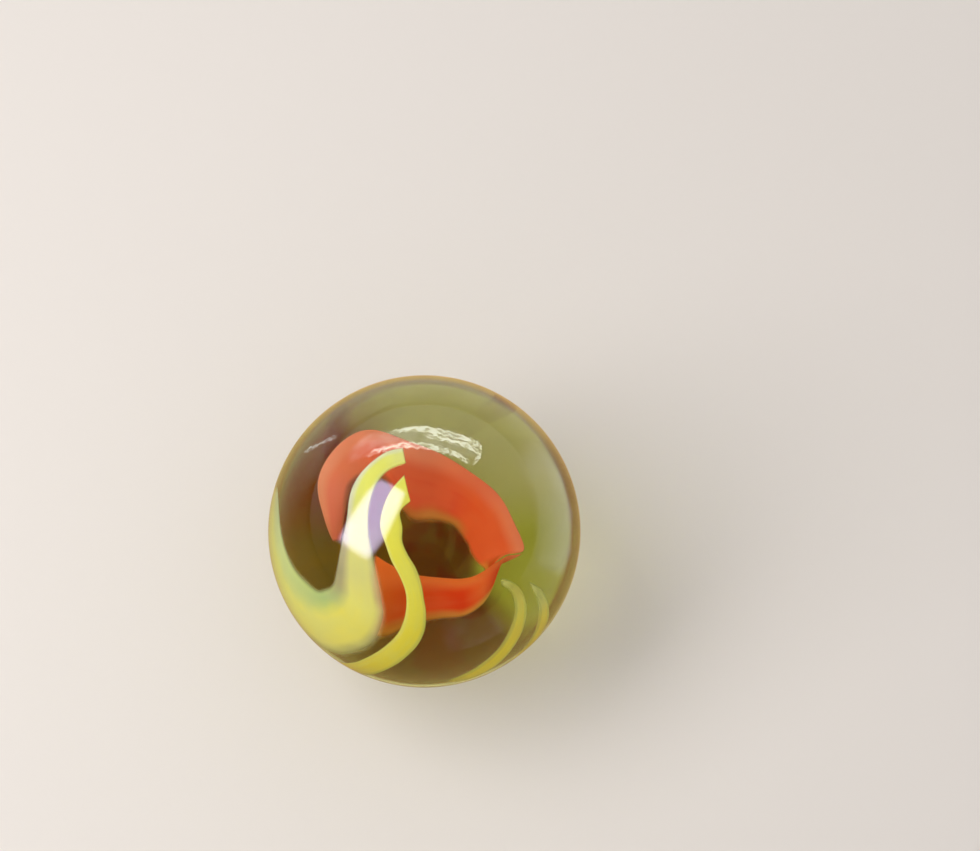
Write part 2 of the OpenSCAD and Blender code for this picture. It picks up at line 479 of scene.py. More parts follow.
def ball_mesh(name, radius, turns=192, rises=96):
    """A ball in rings, with the faint unevenness that hot rolling leaves."""
    points = [BALL_CENTRE + Vector((0, 0, -radius))]
    for j in range(1, rises):
        rise = math.pi * (j / rises - 0.5)
        flat = math.cos(rise)
        for i in range(turns):
            turn = 2 * math.pi * i / turns
            direction = Vector((math.cos(turn) * flat, math.sin(turn) * flat, math.sin(rise)))
            dip = UNEVENNESS * (0.5 + 0.5 * noise.noise(direction * DIPS_PER_RADIUS))
            points.append(BALL_CENTRE + direction * (radius - dip))
    points.append(BALL_CENTRE + Vector((0, 0, radius)))
    faces = []
    for i in range(turns):
        faces.append((0, 1 + (i + 1) % turns, 1 + i))
    for j in range(rises - 2):
        for i in range(turns):
            a = 1 + j * turns + i
            b = 1 + j * turns + (i + 1) % turns
            faces.append((a, b, b + turns, a + turns))
    top = len(points) - 1
    for i in range(turns):
        faces.append((top, top - turns + i, top - turns + (i + 1) % turns))
    return smooth_mesh(name, points, faces)


def new_object(name, data):
    """An object in the scene."""
    made = bpy.data.objects.new(name, data)
    bpy.context.scene.collection.objects.link(made)
    return made


def add_piece(name, mesh, material, slot, *nodes):
    """Adds a mesh, dresses it and lets it stand for its CAD nodes."""
    mesh.materials.append(material)
    piece = new_object(name, mesh)
    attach(piece, "root")
    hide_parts(*nodes)


# Materials -------------------------------------------------------------------

FULL_RIM = 0.3  # part of a rim's share that has its full colour
TIP_FADE = 0.012  # part of the length over which the tip fades in
RIM_CLOUDS = 0.14  # how far clouds and streaks shift the colours across a ribbon
RIM_STREAKS = 0.05
STREAKS = (6, 4)  # streaks across a ribbon and along it


def clear_glass_material(settings):
    """Olive glass that deepens with its thickness, with dull patches where hands have worn it."""
    material = bpy.data.materials.new("clear_olive_glass")
    recipe = Recipe(material)
    place = recipe.node("ShaderNodeTexCoord", output="Object")
    handling = recipe.node("ShaderNodeTexNoise", inputs={
        "Vector": place, "Scale": 160.0, "Detail": 3.0})
    surface = recipe.node("ShaderNodeBsdfPrincipled", inputs={
        "Base Color": (1, 1, 1, 1),
        "Roughness": settings.wear * recipe.steps(handling, 0.42, 0.70),
        "IOR": settings.glass_ior,
        "Transmission Weight": 1.0,
    })
    inside = recipe.node("ShaderNodeVolumeAbsorption", inputs={
        "Color": opaque(settings.glass_colour),
        "Density": settings.glass_depth,
    })
    recipe.node("ShaderNodeOutputMaterial", inputs={"Surface": surface, "Volume": inside})
    return material


def ribbon_glass(name, middle, outer, inner, opacity, softness, tail, mottle_colour, mottle):
    """Coloured glass whose colour and density change along a ribbon and towards its two rims.

    middle is a list of (place along, colour). outer and inner are each the share of the width that
    the rim takes, with such a list. opacity is a list of (place along, outer, middle, inner).
    softness is the shares of the width over which the two rims melt into the clear glass, and tail
    the share of the length over which the far end does. mottle is the most that the second colour
    shows in patches.
    """
    material = bpy.data.materials.new(name)
    recipe = Recipe(material)
    across = recipe.attribute("across")
    along = recipe.attribute("along")
    place = recipe.node("ShaderNodeTexCoord", output="Object")
    clouds = recipe.node("ShaderNodeTexNoise", inputs={
        "Vector": place, "Scale": 350.0, "Detail": 2.0, "Roughness": 0.5})
    spot = recipe.node("ShaderNodeCombineXYZ", inputs={
        "X": across * STREAKS[0], "Y": along * STREAKS[1]})
    streaks = recipe.node("ShaderNodeTexNoise", inputs={"Vector": spot, "Scale": 1.0, "Detail": 4.0})
    drawn = across + RIM_CLOUDS * (clouds - 0.5) + RIM_STREAKS * (streaks - 0.5)
    outer_width, outer_stops = outer
    inner_width, inner_stops = inner
    near_outer = 1 - recipe.steps(drawn, outer_width * FULL_RIM, outer_width)
    near_inner = recipe.steps(drawn, 1 - inner_width, 1 - inner_width * FULL_RIM)
    colour = recipe.along_ribbon(along, middle)
    colour = recipe.blend(near_outer, colour, recipe.along_ribbon(along, outer_stops))
    colour = recipe.blend(near_inner, colour, recipe.along_ribbon(along, inner_stops))
    patches = recipe.steps(0.6 * clouds + 0.4 * streaks, 0.40, 0.62)
    colour = recipe.blend(mottle * patches, colour, opaque(mottle_colour))
    dense = recipe.along_ribbon(along, [(at, densities) for at, *densities in opacity])
    first, body, last = (
        recipe.node("ShaderNodeSeparateColor", inputs={"Color": dense}, output=channel)
        for channel in ("Red", "Green", "Blue"))
    density = body + near_outer * (first - body) + near_inner * (last - body)
    rim = recipe.steps(across, 0.0, softness[0]) * (1 - recipe.steps(across, 1 - softness[1], 1.0))
    ends = recipe.steps(along, 0.0, TIP_FADE) * (1 - recipe.steps(along, 1 - tail, 1.0))
    inside = recipe.node("ShaderNodeNewGeometry", output="Backfacing")
    surface = recipe.node("ShaderNodeBsdfPrincipled", inputs={
        "Base Color": colour,
        "Roughness": 0.5,
        "Specular IOR Level": 0.0,
        "Alpha": density * rim * ends * (1 - inside),
    })
    recipe.node("ShaderNodeOutputMaterial", inputs={"Surface": surface})
    return material


def red_glass_material(settings):
    """Opaque red, paler where it bends away at the top left and orange at its thin lower rim."""
    red = settings.red
    deep = settings.deep_red
    salmon = settings.salmon
    middle = [(0.0, (0.74, 0.15, 0.13)), (0.10, (0.92, 0.19, 0.15)), (0.17, (1.0, 0.20, 0.10)),
              (0.24, (0.98, 0.14, 0.06)), (0.30, (0.78, 0.10, 0.08)), (0.36, (0.72, 0.08, 0.065)),
              (0.41, (0.82, 0.09, 0.065)), (0.45, red), (0.53, red), (0.58, (1.0, 0.14, 0.07)),
              (0.63, (0.75, 0.10, 0.02)), (0.68, deep), (0.73, (1.0, 0.15, 0.035)), (0.79, deep),
              (0.88, (0.90, 0.08, 0.012)), (1.0, (0.95, 0.20, 0.03))]
    outer = [(0.0, (0.92, 0.24, 0.21)), (0.10, salmon), (0.15, (1.0, 0.30, 0.22)),
             (0.21, (1.0, 0.25, 0.16)), (0.28, (1.0, 0.26, 0.20)), (0.34, (0.85, 0.20, 0.19)),
             (0.44, (0.92, 0.16, 0.12)), (0.50, (1.0, 0.22, 0.18)), (0.58, (1.0, 0.26, 0.22)),
             (0.62, (0.9, 0.20, 0.10)), (0.70, (0.9, 0.14, 0.04)), (0.75, (1.0, 0.20, 0.06)),
             (0.85, (1.0, 0.18, 0.05)), (1.0, (0.95, 0.17, 0.04))]
    # The inner rim darkens to maroon near the top of the loop (0.14 to 0.28 along): painted shade.
    inner = [(0.0, (0.85, 0.25, 0.18)), (0.06, (0.70, 0.18, 0.12)), (0.14, (0.42, 0.09, 0.06)),
             (0.22, (0.36, 0.07, 0.05)), (0.28, (0.50, 0.10, 0.05)), (0.35, (0.70, 0.24, 0.10)),
             (0.43, (0.68, 0.23, 0.08)), (0.47, red), (0.58, red), (0.64, (0.75, 0.30, 0.06)),
             (0.69, (0.80, 0.50, 0.12)), (0.76, (0.90, 0.34, 0.08)), (0.86, (0.75, 0.25, 0.05)),
             (0.93, (0.85, 0.32, 0.06)), (1.0, (0.95, 0.36, 0.08))]
    opacity = [(0.0, 0.7, 0.95, 0.7), (0.06, 1.0, 1.0, 0.85), (0.12, 1.0, 1.0, 0.7),
               (0.25, 1.0, 1.0, 0.75), (0.31, 0.95, 1.0, 0.85), (0.36, 0.95, 1.0, 0.9),
               (0.43, 1.0, 1.0, 0.9), (0.5, 1.0, 1.0, 1.0), (0.66, 1.0, 1.0, 1.0),
               (0.8, 1.0, 1.0, 0.95), (1.0, 1.0, 1.0, 0.85)]
    return ribbon_glass(
        "red_glass", middle, (0.38, outer), (0.3, inner), opacity,
        softness=(0.02, 0.12), tail=0.02, mottle_colour=(1.0, 0.30, 0.16), mottle=0.12)


def wide_yellow_material(settings):
    """Pale yellow that thins over the bend and turns green along its inner rim."""
    yellow = settings.yellow
    middle = [(0.0, (1.0, 1.0, 0.34)), (0.08, (1.0, 1.0, 0.20)), (0.18, (1.0, 1.0, 0.20)),
              (0.28, (0.90, 0.88, 0.30)), (0.38, (0.88, 0.82, 0.30)), (0.46, yellow),
              (0.52, (1.0, 0.90, 0.18)), (0.60, yellow), (0.70, (0.98, 0.95, 0.28)),
              (0.80, (0.90, 0.90, 0.27)), (1.0, (0.70, 0.76, 0.30))]
    outer = [(0.0, (0.95, 1.0, 0.25)), (0.25, (0.90, 0.92, 0.36)), (0.38, (0.80, 0.74, 0.42)),
             (0.5, (0.80, 0.76, 0.38)), (0.62, (0.84, 0.84, 0.28)), (0.8, (0.82, 0.84, 0.24)),
             (1.0, (0.66, 0.66, 0.26))]
    inner = [(0.0, (0.98, 1.0, 0.62)), (0.12, (0.96, 1.0, 0.70)), (0.24, (1.0, 1.0, 0.74)),
             (0.32, (0.80, 0.70, 0.48)), (0.42, (0.70, 0.60, 0.36)), (0.49, (0.60, 0.70, 0.32)),
             (0.56, (0.58, 0.76, 0.32)), (0.66, (0.72, 0.84, 0.34)), (0.8, (0.82, 0.92, 0.42)),
             (1.0, (0.6, 0.7, 0.45))]
    opacity = [(0.0, 1.0, 1.0, 1.0), (0.2, 1.0, 1.0, 0.95), (0.28, 0.9, 1.0, 0.85),
               (0.38, 0.7, 1.0, 0.65), (0.52, 0.6, 1.0, 0.9), (0.62, 0.75, 1.0, 0.9),
               (0.75, 0.95, 1.0, 0.95), (1.0, 0.8, 0.95, 0.8)]
    return ribbon_glass(
        "wide_yellow_glass", middle, (0.28, outer), (0.38, inner), opacity,
        softness=(0.16, 0.08), tail=0.05, mottle_colour=(0.78, 0.82, 0.38), mottle=0.2)


def narrow_yellow_material():
    """Bright yellow, duller towards its inner rim and its far end."""
    middle = [(0.0, (1.0, 0.98, 0.15)), (0.25, (1.0, 0.93, 0.12)), (0.6, (1.0, 0.86, 0.09)),
              (1.0, (0.9, 0.72, 0.08))]
    outer = [(0.0, (1.0, 0.98, 0.3)), (0.3, (1.0, 0.95, 0.25)), (1.0, (0.9, 0.75, 0.12))]
    inner = [(0.0, (1.0, 0.95, 0.15)), (0.3, (0.84, 0.78, 0.14)), (0.7, (0.78, 0.72, 0.12)),
             (1.0, (0.6, 0.55, 0.12))]
    opacity = [(0.0, 1.0, 1.0, 1.0), (0.6, 1.0, 1.0, 0.95), (1.0, 0.9, 1.0, 0.9)]
    return ribbon_glass(
        "narrow_yellow_glass", middle, (0.2, outer), (0.25, inner), opacity,
        softness=(0.04, 0.08), tail=0.10, mottle_colour=(0.88, 0.86, 0.22), mottle=0.3)


def thread_material():
    """Dull yellow that starts as a faint green wisp and grows dense."""
    middle = [(0.0, (0.70, 0.76, 0.36)), (0.2, (0.78, 0.78, 0.26)), (0.42, (0.98, 0.86, 0.14)),
              (0.7, (1.0, 0.86, 0.07)), (1.0, (0.98, 0.88, 0.10))]
    outer = [(0.0, (0.62, 0.70, 0.30)), (0.25, (0.70, 0.74, 0.24)), (0.5, (0.88, 0.84, 0.18)),
             (1.0, (0.90, 0.84, 0.13))]
    inner = [(0.0, (0.62, 0.70, 0.30)), (0.25, (0.64, 0.68, 0.22)), (0.5, (0.80, 0.76, 0.18)),
             (1.0, (0.84, 0.78, 0.12))]
    opacity = [(0.0, 0.0, 0.2, 0.0), (0.05, 0.4, 0.8, 0.4), (0.14, 0.4, 0.6, 0.3),
               (0.3, 0.75, 0.95, 0.7), (1.0, 1.0, 1.0, 0.95)]
    return ribbon_glass(
        "thread_glass", middle, (0.3, outer), (0.35, inner), opacity,
        softness=(0.10, 0.10), tail=0.14, mottle_colour=(0.98, 0.68, 0.08), mottle=0.35)


# Settings --------------------------------------------------------------------

class MarbleGlassSettings(bpy.types.PropertyGroup):
    """Sizes and colours of the clear ball."""
    wear: bpy.props.FloatProperty(
        name="Wear", description="Roughness of the patches that handling has dulled",
        subtype="FACTOR", default=0.03, min=0, max=1)
    glass_colour: bpy.props.FloatVectorProperty(
        name="Glass colour", description="What the clear glass lets through most",
        subtype="COLOR", size=3, min=0, max=1, default=(0.78, 0.80, 0.14))
    glass_depth: bpy.props.FloatProperty(
        name="Colour depth", description="How fast the clear glass takes up light, per metre",
        default=50.0, min=0)
    glass_ior: bpy.props.FloatProperty(
        name="Index", description="Index of refraction of the clear glass",
        default=1.5, min=1, max=2)


class MarbleRibbonSettings(bpy.types.PropertyGroup):
    """Sizes and colours of the ribbons."""
    red_thickness: bpy.props.FloatProperty(
        name="Red thickness", description="Thickness of the red ribbon at its middle",
        subtype="DISTANCE", unit="LENGTH", default=0.6 * MM, min=0.1 * MM, max=1.0 * MM)
    red_bow: bpy.props.FloatProperty(
        name="Red bow", description="How far the red ribbon bows out at its middle, in millimetres",
        default=0.4, min=0, max=1)
    yellow_thickness: bpy.props.FloatProperty(
        name="Yellow thickness", description="Thickness of the two yellow ribbons at their middle",
        subtype="DISTANCE", unit="LENGTH", default=0.6 * MM, min=0.1 * MM, max=1.0 * MM)
    thread_thickness: bpy.props.FloatProperty(
        name="Thread thickness", description="Thickness of the yellow threads at their middle",
        subtype="DISTANCE", unit="LENGTH", default=0.5 * MM, min=0.1 * MM, max=1.0 * MM)
    wide_depth: bpy.props.FloatProperty(
        name="Wide depth", description="Glass over the wide yellow ribbon, to its middle",
        subtype="DISTANCE", unit="LENGTH", default=0.9 * MM, min=0.5 * MM, max=3 * MM)
    narrow_depth: bpy.props.FloatProperty(
        name="Narrow depth", description="Glass over the narrow yellow ribbon, to its middle",
        subtype="DISTANCE", unit="LENGTH", default=1.6 * MM, min=0.5 * MM, max=3 * MM)
    deep_red: bpy.props.FloatVectorProperty(
        name="Deep red", description="Red ribbon where it comes back along the lower side",
        subtype="COLOR", size=3, min=0, max=1, default=(0.90, 0.055, 0.010))
    red: bpy.props.FloatVectorProperty(
        name="Red", description="Red ribbon down the right side of its loop",
        subtype="COLOR", size=3, min=0, max=1, default=(0.95, 0.11, 0.05))
    salmon: bpy.props.FloatVectorProperty(
        name="Salmon", description="Outer rim of the red ribbon, at the left of its loop",
        subtype="COLOR", size=3, min=0, max=1, default=(0.95, 0.30, 0.22))
    yellow: bpy.props.FloatVectorProperty(
        name="Yellow", description="Middle of the wide yellow ribbon",
        subtype="COLOR", size=3, min=0, max=1, default=(1.0, 0.92, 0.24))


class MarbleStageSettings(bpy.types.PropertyGroup):
    """Floor, light and camera."""
    floor_colour: bpy.props.FloatVectorProperty(
        name="Floor", description="Colour of the floor",
        subtype="COLOR", size=3, min=0, max=1, default=(0.80, 0.74, 0.69))
    shade_green: bpy.props.FloatVectorProperty(
        name="Olive shade", description="Olive patches in the shade under the ball",
        subtype="COLOR", size=3, min=0, max=1, default=(0.22, 0.13, 0.02))
    window_strength: bpy.props.FloatProperty(
        name="Window", description="Power of the window light", unit="POWER", default=0.6, min=0)
    sky_strength: bpy.props.FloatProperty(
        name="Sky", description="Strength of the light from all round", default=0.6, min=0)
    sky_through: bpy.props.FloatProperty(
        name="Sky through glass", description="Strength of the sky that the glass shows",
        default=1.0, min=0)
    mirror_near: bpy.props.FloatProperty(
        name="Mirrored near side", description="Strength of the mirrored sky, low on the near side",
        default=0.1, min=0)
    mirror_far: bpy.props.FloatProperty(
        name="Mirrored far side", description="Strength of the mirrored sky, low on the far side",
        default=0.9, min=0)
    # These two colours paint the floor's reflection in the ball darker and warmer than the floor
    # itself.
    mirror_floor: bpy.props.FloatVectorProperty(
        name="Mirrored floor", description="Floor near the ball, as the ball mirrors it",
        subtype="COLOR", size=3, min=0, max=1, default=(0.30, 0.16, 0.10))
    mirror_warm: bpy.props.FloatVectorProperty(
        name="Mirrored floor, warm", description="Mirrored floor close to the ball, on the far side",
        subtype="COLOR", size=3, min=0, max=1, default=(0.95, 0.60, 0.30))
    backdrop_colour: bpy.props.FloatVectorProperty(
        name="Backdrop", description="Colour of the far floor and of the sky behind it",
        subtype="COLOR", size=3, min=0, max=1, default=(0.74, 0.70, 0.66))
    overhead: bpy.props.FloatProperty(
        name="Overhead", description="Strength of the mirrored sky overhead",
        default=0.08, min=0)
    glare_strength: bpy.props.FloatProperty(
        name="Glare", description="Strength of the mirrored window", default=14, min=0)
    glare_colour: bpy.props.FloatVectorProperty(
        name="Glare colour", description="Colour of the mirrored window",
        subtype="COLOR", size=3, min=0, max=1, default=(0.74, 0.68, 1.0))
    # The haze is a painted reflection: glowing sheets that only the ball mirrors.
    haze_strength: bpy.props.FloatProperty(
        name="Haze", description="Strength of the pale haze between the glints", default=3.4, min=0)
    glint_strength: bpy.props.FloatProperty(
        name="Glints", description="Strength of the mirrored thin lights", default=15, min=0)
    lens: bpy.props.FloatProperty(
        name="Lens", description="Focal length of the camera, in millimetres", default=100, min=20)


# Operators -------------------------------------------------------------------

class MARBLE_OT_clear_glass(bpy.types.Operator):
    """Build the clear olive ball"""
    bl_idname = "marble.clear_glass"
    bl_label = "Clear glass"

    def execute(self, context):
        settings = context.scene.marble_glass
        mesh = ball_mesh("clear_ball", BALL_RADIUS)
        add_piece("clear_ball", mesh, clear_glass_material(settings), "clear_glass", "clear_glass")
        return {"FINISHED"}


class MARBLE_OT_red_ribbon(bpy.types.Operator):
    """Build the red ribbon that loops through the middle"""
    bl_idname = "marble.red_ribbon"
    bl_label = "Red ribbon"

    def execute(self, context):
        settings = context.scene.marble_ribbons

        def place(point, share):
            return face_point(point, settings.red_bow * 4 * share * (1 - share))

        mesh = ribbon_mesh("red_loop", RED_RIMS, place, settings.red_thickness)
        material = red_glass_material(settings)
        add_piece("red_loop", mesh, material, "red_glass", "red_ribbon")
        return {"FINISHED"}


class MARBLE_OT_yellow_ribbons(bpy.types.Operator):
    """Build the two yellow ribbons just under the surface"""
    bl_idname = "marble.yellow_ribbons"
    bl_label = "Yellow ribbons"

    def execute(self, context):
        settings = context.scene.marble_ribbons
        wide = wide_yellow_material(settings)
        narrow = narrow_yellow_material()
        for name, rims, depth, node, material in (
            ("wide_yellow", WIDE_RIMS, settings.wide_depth, "wide_yellow_ribbon", wide),
            ("narrow_yellow", NARROW_RIMS, settings.narrow_depth, "narrow_yellow_ribbon", narrow),
        ):
            def place(angles, share, depth=depth):
                return shell_point(angles, depth)

            mesh = ribbon_mesh(name, rims, place, settings.yellow_thickness)
            add_piece(name, mesh, material, "yellow_glass", node)
        return {"FINISHED"}


class MARBLE_OT_yellow_threads(bpy.types.Operator):
    """Build the two thin yellow threads"""
    bl_idname = "marble.yellow_threads"
    bl_label = "Yellow threads"

    def execute(self, context):
        settings = context.scene.marble_ribbons
        material = thread_material()

        def place(point, share):
            return face_point(point, 0)

        for name, rims, node in (
            ("inner_thread", INNER_RIMS, "inner_yellow_thread"),
            ("outer_thread", OUTER_RIMS, "outer_yellow_thread"),
        ):
            mesh = ribbon_mesh(name, rims, place, settings.thread_thickness, columns=10)
            add_piece(name, mesh, material, "dull_yellow_glass", node)
        return {"FINISHED"}


# Stage -----------------------------------------------------------------------

def face_direction(right, up, out):
    """A direction drawn in face axes, as a unit vector in the part's frame."""
    return (FACE_TURN @ Vector((right, up, out))).normalized()


def camera_distance(settings):
    """How far the camera stands from the ball's middle, for the ball to take its share."""
    half_angle = math.atan(BALL_SHARE / 2 * SENSOR_WIDTH / settings.lens)
    return BALL_RADIUS / math.sin(half_angle)


def mirror_point(settings, right, up, distance):
    """The place that the ball mirrors towards the camera at (right, up) on it."""
    out = math.sqrt(1 - right * right - up * up)
    normal = face_direction(right, up, out)
    on_ball = BALL_CENTRE + normal * BALL_RADIUS
    eye = BALL_CENTRE + face_direction(0, 0, 1) * camera_distance(settings)
    view = (eye - on_ball).normalized()
    return on_ball + (2 * normal.dot(view) * normal - view) * distance


def add_lamp(name, towards, long_way, size, distance, power):
    """A soft rectangular lamp that faces the ball. It leaves no reflection of its own."""
    light = bpy.data.lights.new(name, "AREA")
    light.shape = "RECTANGLE"
    light.size, light.size_y = size
    light.energy = power
    lamp = new_object(name, light)
    back = face_direction(*towards)
    side = face_direction(*long_way).cross(back).normalized()
    turn = Matrix((side, back.cross(side), back)).transposed()
    lamp.matrix_world = Matrix.Translation(BALL_CENTRE + back * distance) @ turn.to_4x4()
    lamp.visible_glossy = False


def add_card(name, rows, strength, colour, softness, blotches=0.0):
    """A soft-edged sheet that only mirror reflections in the ball see: rows are pairs of points.

    softness widens its soft edge, and blotches is how much of it is broken into streaks.
    """
    points = [mix(*row, share) for row in rows for share in CARD_SHARES]
    spots = [(j / (len(rows) - 1), share) for j in range(len(rows)) for share in CARD_SHARES]
    columns = len(CARD_SHARES)
    faces = []
    for j in range(len(rows) - 1):
        for i in range(columns - 1):
            a = j * columns + i
            faces.append((a, a + 1, a + columns + 1, a + columns))
    mesh = bpy.data.meshes.new(name)
    mesh.from_pydata(points, [], faces)
    keep_shares(mesh, spots)
    material = bpy.data.materials.new(name)
    recipe = Recipe(material)
    down = recipe.attribute("along")
    over = recipe.attribute("across")
    edge = recipe.steps(over * (1 - over), 0.0, softness)
    edge = edge * recipe.steps(down * (1 - down), 0.0, softness * END_SOFTNESS)
    spot = recipe.node("ShaderNodeCombineXYZ", inputs={
        "X": over * CARD_STREAKS, "Y": down * len(rows) * ROW_STREAKS})
    cloud = recipe.node("ShaderNodeTexNoise", inputs={"Vector": spot, "Scale": 1.2, "Detail": 2.0})
    glow = edge * (1 - blotches + blotches * recipe.steps(cloud, 0.38, 0.60))
    light = recipe.node("ShaderNodeEmission", inputs={"Color": opaque(colour), "Strength": strength})
    clear = recipe.node("ShaderNodeBsdfTransparent")
    shown = glow * recipe.before_matt() * recipe.ray("Is Reflection Ray")
    recipe.node("ShaderNodeOutputMaterial", inputs={"Surface": recipe.either(shown, clear, light)})
    mesh.materials.append(material)
    card = new_object(name, mesh)
    card.visible_camera = False
    card.visible_diffuse = False
    card.visible_transmission = False
    card.visible_shadow = False


def card_rows(settings, line, distance, waviness=0.0, steps=6):
    """Rows of a card along a line of (right, up, half width), as the ball mirrors it."""
    rows = []
    for j in range((len(line) - 1) * steps + 1):
        start = min(j // steps, len(line) - 2)
        share = j / steps - start
        near = [line[min(max(start + k, 0), len(line) - 1)] for k in (-1, 0, 1, 2)]
        right, up, half = smooth_between(*near, share)
        middle = up + waviness * (math.sin(1.7 * j) + 0.6 * math.sin(4.1 * j))
        ends = (middle - half, middle + half)
        rows.append([mirror_point(settings, right, end, distance) for end in ends])
    return rows


def broad_card_rows(settings, corners, distance, steps=4):
    """Rows of a card between pairs of (right, up), as the ball mirrors it."""
    rows = []
    for j in range((len(corners) - 1) * steps + 1):
        start = min(j // steps, len(corners) - 2)
        share = j / steps - start
        ends = [mix(corners[start][k], corners[start + 1][k], share) for k in (0, 1)]
        rows.append([mirror_point(settings, *end, distance) for end in ends])
    return rows


def add_window_glare(settings):
    """The bright window that the upper left of the ball mirrors."""
    rows = broad_card_rows(settings, WINDOW_GLARE, WINDOW_AWAY)
    add_card("window_card", rows, settings.glare_strength, settings.glare_colour, softness=0.16)


def add_glints(settings):
    """Thin broken glints over the top of the ball and at its left."""
    glints = [(line, GLINTS_AWAY, 1.0) for line in TOP_GLINTS]
    glints.append((LEFT_GLINT, SIDE_AWAY, LEFT_GLINT_SHARE))
    for number, (line, distance, share) in enumerate(glints):
        rows = card_rows(settings, line, distance, GLINT_WAVINESS)
        strength = share * settings.glint_strength
        add_card(f"glint_card_{number}", rows, strength, GLINT_COLOUR, softness=0.22, blotches=0.85)


def add_haze(settings):
    """Glowing sheets that the ball mirrors as a pale haze between the glints, on its right and low
    on it: painted reflections.
    """
    full = settings.haze_strength
    rows = card_rows(settings, GLINT_HAZE, GLINT_HAZE_AWAY)
    add_card("haze_card", rows, full, GLINT_HAZE_COLOUR, softness=0.24, blotches=0.5)
    rows = broad_card_rows(settings, SIDE_HAZE, SIDE_AWAY)
    strength = SIDE_HAZE_SHARE * full
    add_card("side_haze_card", rows, strength, SIDE_HAZE_COLOUR, softness=0.24, blotches=0.2)
    rows = broad_card_rows(settings, LOW_HAZE, LOW_HAZE_AWAY)
    strength = LOW_HAZE_SHARE * full
    add_card("low_haze_card", rows, strength, LOW_HAZE_COLOUR, softness=0.24, blotches=0.5)


def contact_shade(recipe, place, bare, olive):
    """Colour of the floor under the ball with its painted contact shade, as seen through the glass.
    """
    wobble = recipe.node("ShaderNodeTexNoise", inputs={
        "Vector": place, "Scale": 900.0, "Detail": 1.0})
    tone = recipe.node("ShaderNodeTexNoise", inputs={
        "Vector": place, "Scale": 700.0, "Detail": 2.0})
    patches = recipe.steps(tone, 0.42, 0.62)
    colour = bare
    for right, up, radius, softness, green, shade in CONTACT_SHADE:
        middle = Vector((right, up + math.tan(FACE_LEAN), -1)) * BALL_RADIUS + BALL_CENTRE
        away = recipe.distance(place, middle) * (1 / BALL_RADIUS) + SHADE_WOBBLE * (wobble - 0.5)
        disc = 1 - recipe.steps(away, radius - softness, radius + softness)
        tint = recipe.blend(green * patches, opaque(shade), opaque(olive))
        colour = recipe.blend(disc, colour, tint)
    return colour


def radii(ends):
    """A (start, end) in ball radii, in metres."""
    return [end * BALL_RADIUS for end in ends]


def mirrored_floor(recipe, settings, place, away):
    """Painted reflection of the floor, which only the ball's mirror sees: dark at the near side,
    warm beside the ball.
    """
    beyond = recipe.dot(place, FAR_WAY)
    lighter = recipe.steps(beyond, *radii(NEAR_TO_FAR))
    plain = recipe.blend(lighter, opaque(settings.mirror_floor), opaque(settings.floor_colour))
    warm = recipe.blend(lighter, opaque(settings.mirror_floor), opaque(settings.mirror_warm))
    return recipe.blend(recipe.steps(away, *radii(WARM_RING)), warm, plain)


def floor_material(settings):
    """Pale and matt, and the colour of the backdrop far away. Through the ball it shows painted
    shade, and in the ball's mirror painted darker and warm tones.
    """
    material = bpy.data.materials.new("pale_floor")
    recipe = Recipe(material)
    place = recipe.node("ShaderNodeTexCoord", output="Object")
    away = recipe.distance(place, BALL_CENTRE)
    through = recipe.ray("Is Transmission Ray")
    mirrored = mirrored_floor(recipe, settings, place, away)
    colour = recipe.blend(recipe.ray("Is Reflection Ray"), opaque(settings.floor_colour), mirrored)
    shaded = contact_shade(recipe, place, colour, settings.shade_green)
    colour = recipe.blend(through, colour, shaded)
    surface = recipe.node("ShaderNodeBsdfPrincipled", inputs={
        "Base Color": colour, "Roughness": 0.9, "Specular IOR Level": 0.0})
    backdrop = recipe.node("ShaderNodeEmission", inputs={
        "Color": opaque(settings.backdrop_colour), "Strength": 1.0})
    looked_at = recipe.ray("Is Camera Ray") + through * recipe.before_matt()
    far = recipe.steps(away, *radii(BACKDROP_RING)) * looked_at
    both = recipe.either(far, surface, backdrop)
    recipe.node("ShaderNodeOutputMaterial", inputs={"Surface": both})
    return material


def add_floor(settings):
    """A wide floor that the ball touches, plain to the camera, with painted shade and painted
    reflections that only the ball shows.
    """
    low = CAD_LOW[2]
    signs = ((-1, -1), (1, -1), (1, 1), (-1, 1))
    mesh = bpy.data.meshes.new("floor")
    mesh.from_pydata([(x * FLOOR_HALF, y * FLOOR_HALF, low) for x, y in signs], [], [(0, 1, 2, 3)])
    mesh.materials.append(floor_material(settings))
    floor = new_object("floor", mesh)


def add_lights(settings):
    """The window lamp, and what the ball mirrors of the room."""
    add_lamp("window", LAMP_TOWARDS, LAMP_LONG_WAY, LAMP_SIZE, LAMP_AWAY, settings.window_strength)
    add_window_glare(settings)
    add_glints(settings)
    add_haze(settings)


def add_sky(settings):
    """Even soft light. The ball's mirror sees it bright round the horizon and dim overhead."""
    world = bpy.data.worlds.new("soft_sky")
    recipe = Recipe(world)
    direction = recipe.node("ShaderNodeTexCoord", output="Generated")
    facing = recipe.dot(direction, face_direction(0, 0, 1))
    dim = recipe.steps(facing, *(math.cos(angle) for angle in OVERHEAD_ANGLES))
    up = recipe.dot(direction, face_direction(*SKY_WAY))

    def light(strength, colour=(1, 1, 1)):
        inputs = {"Color": opaque(colour), "Strength": strength}
        return recipe.node("ShaderNodeBackground", inputs=inputs)

    near, far = light(settings.mirror_near), light(settings.mirror_far)
    round_about = recipe.either(recipe.steps(up, *SKY_HEIGHTS), near, far)
    mirrored = recipe.either(dim, round_about, light(settings.overhead))
    sky = recipe.either(recipe.ray("Is Glossy Ray"), light(settings.sky_strength), mirrored)
    sky = recipe.either(recipe.ray("Is Transmission Ray"), sky, light(settings.sky_through))
    sky = recipe.either(recipe.ray("Is Camera Ray"), sky, light(1.0, settings.backdrop_colour))
    recipe.node("ShaderNodeOutputWorld", inputs={"Surface": sky})
    bpy.context.scene.world = world


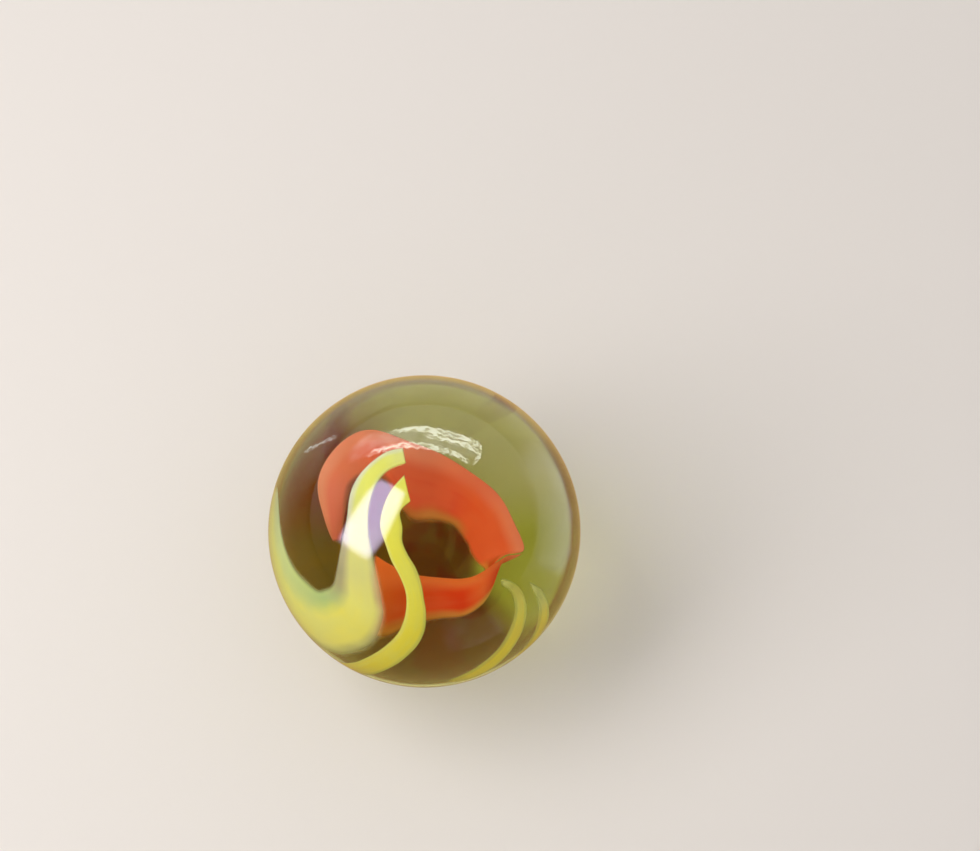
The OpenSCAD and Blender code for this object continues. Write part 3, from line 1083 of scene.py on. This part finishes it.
def add_camera(settings):
    """Camera that sees the ball at its share of the picture's width, off the middle."""
    camera = bpy.data.cameras.new("camera")
    camera.lens = settings.lens
    camera.sensor_width = SENSOR_WIDTH
    camera.clip_start = 0.01
    back = face_direction(0, 0, 1)
    seen_at = Vector((*BALL_OFF_MIDDLE, -settings.lens / SENSOR_WIDTH)).normalized()
    off_middle = Vector((0, 0, -1)).rotation_difference(seen_at)
    straight = (-back).to_track_quat("-Z", "Y")
    eye = new_object("camera", camera)
    eye.location = BALL_CENTRE + back * camera_distance(settings)
    eye.rotation_euler = (straight @ off_middle.inverted()).to_euler()
    bpy.context.scene.camera = eye


class MARBLE_OT_stage(bpy.types.Operator):
    """Build the floor, the light and the camera"""
    bl_idname = "marble.stage"
    bl_label = "Stage"

    def execute(self, context):
        settings = context.scene.marble_stage
        add_floor(settings)
        add_lights(settings)
        add_sky(settings)
        add_camera(settings)
        scene = context.scene
        scene.view_settings.view_transform = "Standard"
        scene.cycles.max_bounces = 16
        scene.cycles.transmission_bounces = 16
        scene.cycles.diffuse_bounces = 6
        scene.cycles.glossy_bounces = 8
        return {"FINISHED"}


class MARBLE_PT_panel(bpy.types.Panel):
    """Sizes, colours and buttons for the marble"""
    bl_idname = "MARBLE_PT_panel"
    bl_label = "Glass marble"
    bl_space_type = "VIEW_3D"
    bl_region_type = "UI"
    bl_category = "Marble"

    def draw(self, context):
        scene = context.scene
        for group in (scene.marble_glass, scene.marble_ribbons, scene.marble_stage):
            box = self.layout.box()
            for name in group.bl_rna.properties.keys():
                if name not in ("rna_type", "name"):
                    box.prop(group, name)
        for operator in OPERATORS:
            self.layout.operator(operator.bl_idname)


GROUPS = {
    "marble_glass": MarbleGlassSettings,
    "marble_ribbons": MarbleRibbonSettings,
    "marble_stage": MarbleStageSettings,
}
OPERATORS = (
    MARBLE_OT_clear_glass,
    MARBLE_OT_red_ribbon,
    MARBLE_OT_yellow_ribbons,
    MARBLE_OT_yellow_threads,
    MARBLE_OT_stage,
)


def register():
    """Registers the settings, the operators and the panel."""
    for cls in (*GROUPS.values(), *OPERATORS, MARBLE_PT_panel):
        bpy.utils.register_class(cls)
    for name, group in GROUPS.items():
        setattr(bpy.types.Scene, name, bpy.props.PointerProperty(type=group))


def unregister():
    """Takes out what register put in."""
    for name in GROUPS:
        delattr(bpy.types.Scene, name)
    for cls in reversed((*GROUPS.values(), *OPERATORS, MARBLE_PT_panel)):
        bpy.utils.unregister_class(cls)


def main():
    """Builds the marble and its stage."""
    register()
    bpy.ops.marble.clear_glass()
    bpy.ops.marble.red_ribbon()
    bpy.ops.marble.yellow_ribbons()
    bpy.ops.marble.yellow_threads()
    bpy.ops.marble.stage()


if __name__ == "__main__":
    main()
